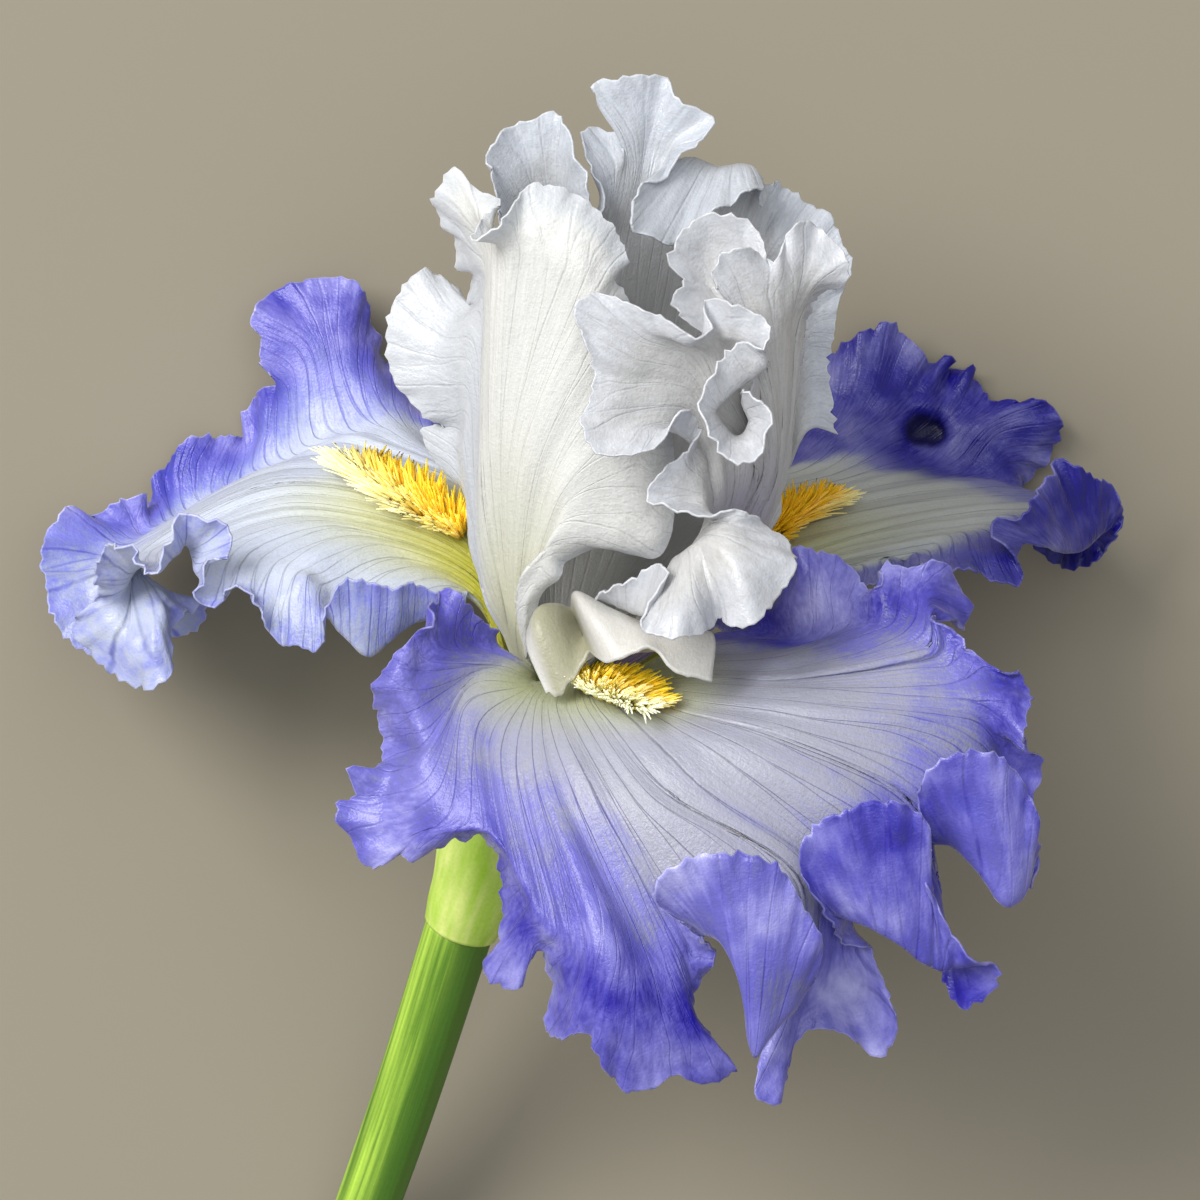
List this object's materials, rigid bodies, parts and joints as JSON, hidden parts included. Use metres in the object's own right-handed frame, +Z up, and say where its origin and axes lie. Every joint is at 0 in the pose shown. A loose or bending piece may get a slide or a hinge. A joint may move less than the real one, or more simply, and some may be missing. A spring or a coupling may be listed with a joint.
{
  "type": "bearded iris flower",
  "caption": "Bearded iris flower on a short cut stem, lying on its back: ruffled white standards, lilac waved falls with yellow beards, green bract.",
  "frame": {"origin": "centre of the bounding box at table height, under the flower as it lies on its back", "axes": "+Z up from the table, +Y up the flower from the stem's cut end towards the crown, +X across the bloom to the viewer's right when looking down on it"},
  "size_m": [0.1686, 0.1908, 0.101],
  "materials": {
    "petal_lilac": "soft waved petal, lilac margin with pale veined centre",
    "petal_indigo": "soft waved petal, deep violet margin",
    "petal_white": "soft waved petal, white with a faint blue shade",
    "style_cream": "smooth translucent petal tissue",
    "beard_yellow": "dense fine hairs, yellow with cream tips",
    "ovary_green": "smooth waxy green",
    "bract_lime": "papery lime green bract",
    "stem_green": "smooth waxy green stem"
  },
  "bodies": {
    "root": {"fall_front": "petal_lilac", "fall_left": "petal_lilac", "fall_right": "petal_indigo", "standard_left": "petal_white", "standard_right": "petal_white", "standard_back": "petal_white", "style_front": "style_cream", "style_left": "style_cream", "style_right": "style_cream", "beard_front": "beard_yellow", "beard_left": "beard_yellow", "beard_right": "beard_yellow", "ovary_tube": "ovary_green", "spathe_outer": "bract_lime", "spathe_inner": "bract_lime", "stem": "stem_green"}
  },
  "joints": []
}
